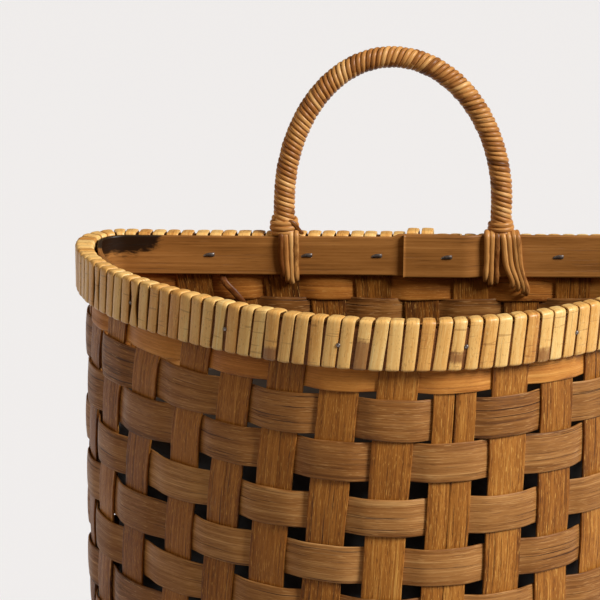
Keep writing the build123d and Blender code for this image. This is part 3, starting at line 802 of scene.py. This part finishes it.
def build_rim_binding():
    """Strips bound over the whole rim, leaving a dark gap between one turn and the next."""
    strips = Strips()
    pitch = HOOP_LINE.length / WRAP_COUNT
    widest_y = BACK_Y - CORNER
    for number in range(WRAP_COUNT):
        middle = WRAP_START + (number + 0.5) * pitch + random.uniform(-0.3, 0.3) * MM
        x, y = HOOP_LINE.point(middle)
        tied = y > BACK_Y - CORNER / 2 and abs(x - BAND_LAP_X - WRAP_PITCH) < WRAP_PITCH
        front = min(max((widest_y - y) / FRONT_REACH, 0), 1)
        sunk = y > BACK_Y - CORNER / 2 and x > BAND_LAP_X + 2 * WRAP_PITCH
        lift = FRONT_LIFT * front + random.uniform(-0.12, 0.12) * MM
        lift += TIE_LIFT if tied else -RIGHT_SINK if sunk else 0
        path = wrap_path(lift, WRAP_LEG - LEG_SPARE * front)
        ahead = headings(path)
        away = np.stack([-ahead[:, 1], ahead[:, 0]], -1)
        run = run_length(path)
        facing = run[path[:, 0] > -WRAP_FACE - 0.1 * MM]
        on_face = (facing[0] + facing[-1]) / 2
        place = middle - WRAP_SLANT * random.uniform(0.75, 1.2) * (run - on_face)
        key = number if number < WRAP_COUNT / 2 else number - WRAP_COUNT
        face = np.exp(-((run - on_face) / (9 * MM)) ** 2)
        count = len(path)
        narrow = 1 - (1 - NARROW_WRAPS.get(key, 1.0)) * face
        width = (pitch - WRAP_GAP) * random.uniform(0.93, 1.03) * narrow * (1 + wander(count, 5, 0.025))
        profile = section(1.0, WRAP_THICK, WRAP_CROWN * random.uniform(0.7, 1.2), ease=0.42, curve=3.2)
        across = scaled_across(profile, width)
        stand = profile[:, 1] + wander(count, 3, 0.09 * MM)[:, None]
        stand = stand + across * random.uniform(-0.03, 0.03)
        out = path[:, None, 0] + stand * away[:, None, 0]
        up = path[:, None, 1] + stand * away[:, None, 1]
        spots = (place[:, None] + across) * RIM_LINE.length / HOOP_LINE.length
        swell = LEFT_RIM_SWELL * left_swell(RIM_LINE, spots)
        grid = outline_points(RIM_LINE, spots, RIM_TOP + up, out + swell)
        stain = np.zeros(out.shape)
        if key in WRAP_STAINS:
            high, low = WRAP_STAINS[key]
            depth = -up / MM
            stain = 1 / (1 + np.exp(high - depth)) / (1 + np.exp(depth - low))
            stain = stain * (out > -4 * MM) * STAIN_DEPTH
        colours = np.tile(tone(), (*stain.shape, 1))
        colours[..., 2] = stain
        colours[..., 3] = 0.5 + random.uniform(-0.3, 0.3)
        around = girth(section(width.mean(), WRAP_THICK, WRAP_CROWN))
        strips.add(grid, run + random.random(), around, colours, capped=False)
    strips.build("rim_binding_strip", CANE, ["rim_wraps"], "rim_binding")


def build_ring(name, node, line, low, high, thick):
    """A flat bamboo hoop bent round a plan line."""
    count = 420
    place = line.length * np.arange(count) / count
    profile = section(high - low, thick, 0.2 * MM, ease=0.9)
    z = (low + high) / 2 + profile[:, 0] + wander(count, 8, 0.25 * MM, closed=True)[:, None] * 0.5
    stand = profile[:, 1] - thick / 2
    grid = outline_points(line, place[:, None], z, stand)
    strips = Strips()
    along = np.append(place, line.length)
    strips.add(grid, along, girth(profile), tone(), closed=True)
    strips.build(name, HOOP, [node], "bamboo_hoop")


def build_band():
    """The flat band inside the rim, open, with its last stretch lapped over its beginning."""
    line = RIM_LINE.inside(BAND_INSET)
    end = line.nearest(BAND_LAP_X, BACK_Y - BAND_INSET) + line.length
    whole = line.length + BAND_LAP
    count = 560
    to_end = np.linspace(whole, 0, count)
    lap = smooth(np.clip((BAND_LAP + BAND_STEP + 2 * MM - to_end) / BAND_STEP, 0, 1))
    depth = (BAND_THICK + BAND_CLEAR) * lap + BAND_THICK / 2
    place = end - to_end
    behind = np.clip((line.point(place)[:, 1] - BACK_Y + 2 * CORNER) / CORNER, 0, 1)
    right = np.clip(line.point(place)[:, 0] / (4 * MM), 0, 1) * behind
    top = -1.6 * MM + 1.6 * MM * behind + 1.9 * MM * right + wander(count, 9, 0.15 * MM)
    low = -BAND_HEIGHT + 1.0 * MM * behind - 0.6 * MM * right + wander(count, 9, 0.15 * MM)
    profile = section(1.0, BAND_THICK - 0.1 * MM, 0.0, ease=0.8)
    z = RIM_TOP + (top + low)[:, None] / 2 + scaled_across(profile, top - low)
    grid = outline_points(line, place[:, None], z, -depth[:, None] + profile[:, 1])
    x, y, z = grid[..., 0] / MM, grid[..., 1] / MM, (RIM_TOP - grid[..., 2]) / MM
    corner = np.exp(-(((x + 172) / 24) ** 4 + ((y - 96) / 28) ** 4 + (np.maximum(z - 3, 0) / 9) ** 4))
    colours = np.tile((0.5, 0.3, 0.0, 0.5), (*corner.shape, 1))
    colours[..., 2] = corner
    strips = Strips()
    strips.add(grid, whole - to_end, girth(section(BAND_HEIGHT, BAND_THICK, 0.0)), colours)
    strips.build("inner_rim_band_strip", BAND, ["inner_rim_band"], "bamboo_band")


def nail_places():
    corners = WRAP_START + np.arange(WRAP_COUNT) * HOOP_LINE.length / WRAP_COUNT
    spots = HOOP_LINE.point(corners)
    targets = [(x * MM, BACK_Y) for x in RIM_NAIL_XS]
    for side in (-1, 1):
        place = RIM_NAIL_START if side > 0 else RIM_NAIL_START - RIM_NAIL_PITCH
        while RIM_LINE.point(place)[1] < BACK_Y - CORNER:
            targets.append(tuple(RIM_LINE.point(place)))
            place += side * RIM_NAIL_PITCH
    return [corners[np.linalg.norm(spots - np.array(target), axis=1).argmin()] for target in targets]


def add_dome(strips, centre, outward, radius, height):
    """A small round nail head, facing outward."""
    side, up = np.cross(outward, (0, 0, 1)), np.array([0, 0, 1])
    turns = math.tau * np.arange(14)[:, None] / 14
    circle = np.cos(turns) * side + np.sin(turns) * up
    grid = [centre + outward * (-0.6 * height) + radius * circle]
    for level in np.linspace(0, math.pi / 2, 6):
        ring = radius * max(math.cos(level), 0.03)
        grid.append(centre + outward * (height * math.sin(level)) + ring * circle)
    strips.add(np.array(grid), np.linspace(0, radius, len(grid)), np.linspace(0, radius * 6, 15), tone())


def build_rim_nails():
    strips = Strips()
    for place in nail_places():
        spot, outward = HOOP_LINE.point(place), HOOP_LINE.outward(place)
        outward = np.array([*outward, 0.0])
        head = np.array([*spot, RIM_NAIL_Z]) + outward * 1.3 * MM
        add_dome(strips, head, outward, 1.25 * MM, 0.7 * MM)
        at_back = spot[1] > BACK_Y - CORNER
        lapped = at_back and abs(spot[0] - BAND_LAP_X - BAND_LAP / 2) < BAND_LAP / 2 + 4 * MM
        deep = BAND_INSET + BAND_THICK + (BAND_THICK + BAND_CLEAR if lapped else 0) - HOOP_OUTER
        root = np.array([*spot, RIM_NAIL_Z]) - outward * (deep - 0.8 * MM)
        side = -np.cross(outward, (0, 0, 1)) * (1 if at_back else -1)
        path = smooth_path([root + outward * 5 * MM, root, root - outward * 1.1 * MM + side * 0.9 * MM,
                            root - outward * 1.25 * MM + side * 3.6 * MM,
                            root - outward * 0.9 * MM + side * 6.6 * MM + np.array([0, 0, -0.8 * MM])], 26)
        add_tube(strips, path, (0, 0, 1), tapered(26, 0.5 * MM, None, 0.3, 0.5),
                 tapered(26, 1.35 * MM, None, 0.3, 0.5), tone(), 8)
    strips.build("rim_nail_set", STEEL, ["rim_nails"], "nail_steel")


# Foot and base

def build_foot_nails():
    strips = Strips()
    for number in range(0, STAVE_COUNT, 3):
        place = (stave_middle(number, FOOT_NAIL_Z) + stave_middle(number + 1, FOOT_NAIL_Z)) / 2
        outward = np.array([*WALL_LINE.outward(place), 0.0])
        head = np.array([*WALL_LINE.at(place, WALL_INSET - FOOT_INSET), FOOT_NAIL_Z]) + outward * 0.2 * MM
        add_dome(strips, head, outward, 1.4 * MM, 0.7 * MM)
    strips.build("foot_nail_set", STEEL, ["foot_nails"], "nail_steel")


def crossings(line, axis, value):
    """Where a line crosses x = value (axis 0) or y = value (axis 1), on the other axis."""
    a, b = line.xy[:-1], line.xy[1:]
    hit = (a[:, axis] - value) * (b[:, axis] - value) < 0
    share = (value - a[hit, axis]) / (b[hit, axis] - a[hit, axis])
    return a[hit, 1 - axis] + share * (b[hit, 1 - axis] - a[hit, 1 - axis])


def build_base():
    """Two plaited layers of flat strips, one across and one from front to back."""
    line = RIM_LINE.inside(MAT_INSET + 0.5 * MM)
    ys = [BACK_Y - MAT_INSET - MAT_WIDTH / 2 - MM - MAT_PITCH * i for i in range(MAT_ROWS)]
    xs = [MAT_PITCH * (i - (MAT_COLUMNS - 1) / 2) for i in range(MAT_COLUMNS)]
    half = MAT_WIDTH / 2
    profile = section(MAT_WIDTH, MAT_THICK, 0.0, ease=0.5)
    across, deep = Strips(), Strips()

    def mat_heights(steps):
        return MAT_Z + MAT_LAYER * weave_wave(math.pi * steps)[:, None] + profile[:, 1]

    for index, y in enumerate(ys):
        reach = min(np.abs(crossings(line, 1, edge)).min() for edge in (y - half, y + half))
        x = np.linspace(-reach, reach, 160)
        z = mat_heights((x - xs[0]) / MAT_PITCH + index + 1)
        grid = np.stack(np.broadcast_arrays(x[:, None], y + profile[:, 0], z), -1)
        across.add(grid, x, girth(profile), tone())
    for index, x in enumerate(xs):
        ends = [v for edge in (x - half, x + half) for v in crossings(line, 0, edge)]
        front = max(v for v in ends if v < BACK_Y - CORNER)
        back = min(v for v in ends if v > BACK_Y - CORNER)
        y = np.linspace(front, back, 110)
        z = mat_heights((ys[0] - y) / MAT_PITCH + index)
        grid = np.stack(np.broadcast_arrays(x + profile[:, 0], y[:, None], z), -1)
        deep.add(grid, y, girth(profile), tone())
    across.build("base_cross_set", MAT, ["base_cross_strips"], "bamboo_mat")
    deep.build("base_deep_set", MAT, ["base_deep_strips"], "bamboo_mat")


# Handle

def handle_line(count, low):
    """Middle of the rod, from the right foot over the arch to the left foot."""
    spring = RIM_TOP + HANDLE_RISE - HANDLE_CROWN
    arch = np.linspace(0, math.pi, 160)
    x = HANDLE_HALF * np.cos(arch) + HANDLE_SKEW * np.sin(arch) ** 2
    z = spring + HANDLE_CROWN * np.sin(arch)
    x = np.concatenate([[HANDLE_HALF], x, [-HANDLE_HALF]])
    z = np.concatenate([[low], z, [low]])
    return evened(np.stack([x, np.full(len(x), HANDLE_Y), z], -1), count)


def around_line(line, turn, radius):
    """Points and outward directions on a round rod, at a turn about its middle line."""
    first = np.cross(headings(line), (0, 1, 0))
    outward = first * np.cos(turn)[:, None] + np.array([0, 1, 0]) * np.sin(turn)[:, None]
    return line + outward * np.broadcast_to(radius, len(line))[:, None], outward


def add_winding(strips, line, lead, phase, radius, half, colour, hand=1, height=0.72):
    """One strand wound along a line; colour holds one tone for each point."""
    turn = hand * math.tau * run_length(line) / lead + phase
    path, outward = around_line(line, turn, radius)
    grid = tube(path, outward, half, half * height, 10)
    around = math.tau * float(np.mean(half)) * np.arange(11) / 10
    strips.add(grid, run_length(path), around, colour)


def build_handle():
    low = RIM_TOP + 0.8 * MM
    line = handle_line(420, RIM_TOP + 0.5 * MM)
    core = Strips()
    add_tube(core, line, (0, 1, 0), CORE_RADIUS, CORE_RADIUS, tone(), 16)
    for side in (-1, 1):
        x = side * HANDLE_HALF
        y = BACK_Y - 8.5 * MM
        run = smooth_path([(x, y, RIM_TOP + 3 * MM), (x, y, RIM_TOP - 4 * MM), (x, y, RIM_TOP - 12 * MM)], 12)
        add_tube(core, run, (0, 1, 0), 4.5 * MM, 0.65 * MM, tone(), 10)
    # painted shade: the rod's dark hoop colour stands for the shade in the gaps between the strands
    core.build("handle_rod", HOOP, ["handle_core"], "handle_rod")

    winding = Strips()
    count = 2400
    line = handle_line(count, low + 5 * MM)
    length = run_length(line)[-1]
    turns = length / STRAND_LEAD
    for start in range(STRAND_COUNT):
        drift = wander(count, 60, 0.12 * MM)
        half = STRAND_HALF * (1 + wander(count, 50, 0.09)) * random.uniform(0.94, 1.04)
        changes = np.random.RandomState(start + 5).random((int(turns) + 2, 2))
        changes = np.repeat(changes, math.ceil(count / turns), 0)
        colour = np.concatenate([changes[:count], np.zeros((count, 1)), changes[:count, 1:]], 1)
        colour[:, 0] = 0.35 * colour[:, 0] + 0.65 * random.random()
        radius = CORE_RADIUS + 0.75 * MM + drift
        add_winding(winding, line, STRAND_LEAD, math.tau * start / STRAND_COUNT, radius, half, colour)
    winding.build("handle_winding", WINDING, ["handle_wrap"], "rattan_winding")


def build_collars():
    """Close turns of strand round each foot of the handle, over the long winding."""
    strips = Strips()
    for side, height, swell, rounds in ((-1, 10.5, 1.9, 3.4), (1, 9.0, 1.0, 3.0)):
        x = side * HANDLE_HALF
        count = 260
        z = RIM_TOP + np.linspace(0.8, 0.8 + height, count) * MM
        turn = math.tau * rounds * np.linspace(0, 1, count) + 1.2
        bulge = np.sin(math.pi * np.linspace(0.12, 0.9, count))
        radius = (6.4 + swell * bulge + wander(count, 9, 0.18)) * MM
        sway = wander(count, 7, 0.35 * MM)
        path = np.stack([x + radius * np.cos(turn), HANDLE_Y + radius * np.sin(turn), z + sway], -1)
        outward = np.stack([np.cos(turn), np.sin(turn), np.zeros(count)], -1)
        half = tapered(count, 1.75 * MM, 0.3, 0.3, 0.04)
        add_tube(strips, path, outward, half, half * 0.72, tone(), 10)
    tail = [(3, -7.4, 11), (6.6, -7, 8.5), (9.6, -5.6, 4), (12.2, -4.2, 1.6)]
    tail = smooth_path([(x * MM - HANDLE_HALF, HANDLE_Y + y * MM, RIM_TOP + z * MM) for x, y, z in tail], 30)
    size = tapered(30, 1.5 * MM, 0.4, 0.3, 0.3)
    add_tube(strips, tail, (0, -1, 0), size, size * 0.6, tone(0.45), 10)
    strips.build("handle_collar_turns", WINDING, ["handle_collars"], "rattan_winding")


# Lashing strands: place at the collar, place at the end, depth below the rim (all in mm), stain.
STRANDS = [(-71.4, -69.8, 28, 0.5), (-68.6, -66.9, 30, 0.15), (-65.2, -64.2, 31, 0.0), (-61.8, -61.6, 29, 0.35),
           (60.2, 60.0, 29, 0.2), (63.4, 63.4, 31, 0.05), (66.8, 66.6, 30, 0.4),
           (70.2, 77.2, 33, 0.0), (73.6, 81.0, 35, 0.1), (77.0, 84.6, 37, 0.0), (79.4, 86.6, 38, 0.3)]


def build_strands():
    strips = Strips()
    face = BACK_Y - BAND_INSET - BAND_THICK
    for top, foot, drop, stain in STRANDS:
        bow = random.uniform(-0.4, 0.4)
        lean = top + (foot - top) * 0.4 + bow
        points = [(top, 0.4, 4.5), (top, -3.4, 2.6), (top + (foot - top) * 0.1, -4.8, -1.5),
                  (lean, -4.5, -drop * 0.5), (foot, -4.0, -drop + 5.5), (foot, -2.2, -drop + 1.5),
                  (foot + 0.4, 0.9, -drop)]
        path = smooth_path([(x * MM, face + (y + 2.6) * MM, RIM_TOP + z * MM) for x, y, z in points], 70)
        half = 1.85 * MM * (1 + wander(70, 5, 0.1)) * random.uniform(0.92, 1.06)
        half = half * tapered(70, 1.0, 0.6, 0.35, 0.07)
        add_tube(strips, path, (0, -1, 0), half, half * 0.8, tone(stain, random.uniform(0.2, 0.9)), 10)
    tail = [(-110, 5.4, -24), (-107.5, 0.6, -30), (-101, 0, -37), (-97, 0.4, -42), (-93.5, 1.6, -46)]
    tail = smooth_path([(x * MM, face + y * MM, RIM_TOP + z * MM) for x, y, z in tail], 30)
    size = tapered(30, 2.2 * MM, 0.5, 0.2, 0.3)
    add_tube(strips, tail, (0, -1, 0), size, size * 0.4, tone(0.5, 0.2), 10)
    strips.build("handle_lashing", WINDING, ["handle_strands"], "rattan_winding")


# Drip liner

def build_liner():
    line = RIM_LINE.inside(LINER_INSET)
    low = MAT_Z + MAT_LAYER + MAT_THICK / 2 + 0.3 * MM
    lip, wall, turn, round_top = LINER_LIP, LINER_WALL, 1.4 * MM, 0.9 * MM
    under = LINER_TOP - LINER_LIP_HEIGHT
    ease = [math.radians(angle) for angle in (0, 30, 60, 90)]
    profile = [(-wall * 3, low), (-turn, low)]
    profile += [(-turn + turn * math.sin(a), low + turn * (1 - math.cos(a))) for a in ease[1:]]
    profile += [(0, under - 1 * MM), (0.5 * MM, under), (lip - 0.5 * MM, under), (lip, under + 0.5 * MM)]
    for middle, first in ((lip - round_top, 0), (round_top - wall, math.pi / 2)):
        profile += [(middle + round_top * math.cos(first + a),
                     LINER_TOP - round_top * (1 - math.sin(first + a))) for a in ease]
    floor = low + wall
    profile += [(-wall, floor + turn), (-wall - 0.4 * MM, floor + 0.4 * MM), (-wall - turn, floor)]
    profile += [(-wall * 3, floor)]
    profile = np.array(profile)
    count = 360
    place = line.length * np.arange(count) / count
    grid = outline_points(line, place[:, None], profile[:, 1], profile[:, 0])
    strips = Strips()
    strips.add(grid, np.append(place, line.length), girth(profile), tone(), closed=True)
    for column, step in ((0, -1), (len(profile) - 1, 1)):
        ring = [row * len(profile) + column for row in range(count)]
        strips.faces.append(ring[::step])
        strips.uvs.append(grid[:, column, :2][::step])
    strips.build("drip_liner_tub", PLASTIC, ["drip_liner"], "liner_plastic", body="liner")


# Stage

CAMERA_SPOT = (-0.0598, -1.3933, 0.8352)
CAMERA_TURN = 0.03
CAMERA_DIP = 14.89
CAMERA_ROLL = 0.4
CAMERA_LENS = 144.0
FLOOR_REACH = 25.0
FLOOR_COLOUR = (0.866, 0.89, 0.94, 1)
FLOOR_GLOW = (0.03, 0.04, 0.07, 1)
FILL_COLOUR = (1.0, 0.8, 0.56, 1)
FILL_STRENGTH = 0.16


def build_camera():
    turn, dip, roll = (math.radians(v) for v in (CAMERA_TURN, CAMERA_DIP, CAMERA_ROLL))
    ahead = Vector((math.sin(turn) * math.cos(dip), math.cos(turn) * math.cos(dip), -math.sin(dip)))
    right = Vector((math.cos(turn), -math.sin(turn), 0))
    up = right.cross(ahead)
    right, up = (right * math.cos(roll) + up * math.sin(roll), up * math.cos(roll) - right * math.sin(roll))
    camera = add_object("camera", bpy.data.cameras.new("camera"))
    camera.data.lens = CAMERA_LENS
    camera.data.sensor_width = 36.0
    camera.data.clip_end = 60.0
    place = Matrix((right, up, -ahead)).transposed().to_4x4()
    place.translation = Vector(CAMERA_SPOT)
    camera.matrix_world = place
    bpy.context.scene.camera = camera


def build_floor():
    mesh = bpy.data.meshes.new("floor")
    corners = [(x * FLOOR_REACH, y * FLOOR_REACH, 0) for x, y in ((-1, -1), (1, -1), (1, 1), (-1, 1))]
    mesh.from_pydata(corners, [], [(0, 1, 2, 3)])
    shader = Shader("floor_paint")
    shader.surface.inputs["Emission Color"].default_value = FLOOR_GLOW
    shader.surface.inputs["Emission Strength"].default_value = 1.0
    mesh.materials.append(shader.finish(FLOOR_COLOUR, 0.9, specular=0.1))
    floor = add_object("floor", mesh)
    floor.visible_diffuse = False


def add_sun(name, strength, azimuth, elevation, spread, colour):
    """A soft distant light. Azimuth 0 shines from the front and 90 from the right."""
    light = bpy.data.lights.new(name, "SUN")
    light.energy = strength
    light.angle = math.radians(spread)
    light.color = colour
    lamp = add_object(name, light)
    turn, rise = math.radians(azimuth), math.radians(elevation)
    toward = Vector((math.sin(turn) * math.cos(rise), -math.cos(turn) * math.cos(rise), math.sin(rise)))
    lamp.rotation_euler = toward.to_track_quat("Z", "Y").to_euler()


def build_light():
    add_sun("key", 4.0, 60, 35, 24, (1.0, 0.975, 0.93))
    add_sun("bounce", 0.52, -70, 34, 70, (1.0, 0.84, 0.6))
    world = bpy.data.worlds.new("studio")
    bpy.context.scene.world = world
    world.use_nodes = True
    background = world.node_tree.nodes["Background"]
    background.inputs["Color"].default_value = FILL_COLOUR
    background.inputs["Strength"].default_value = FILL_STRENGTH
    bpy.context.scene.view_settings.view_transform = "Standard"


build_staves()
for row_number, (row_top, row_height) in enumerate(ROWS):
    build_weaver(row_number, row_top, row_height)
build_ring("rim_hoop_strip", "rim_hoop", HOOP_LINE, HOOP_LOW, HOOP_HIGH, HOOP_THICK)
build_rim_binding()
build_band()
build_rim_nails()
for side, inset, height in (("outer", FOOT_INSET, FOOT_HEIGHT), ("inner", BAND_INSET, INNER_FOOT_HEIGHT)):
    build_ring(f"{side}_foot_band", f"{side}_foot_hoop", RIM_LINE.inside(inset), 0.0, height, FOOT_THICK)
build_foot_nails()
build_base()
build_handle()
build_collars()
build_strands()
build_liner()
build_camera()
build_floor()
build_light()
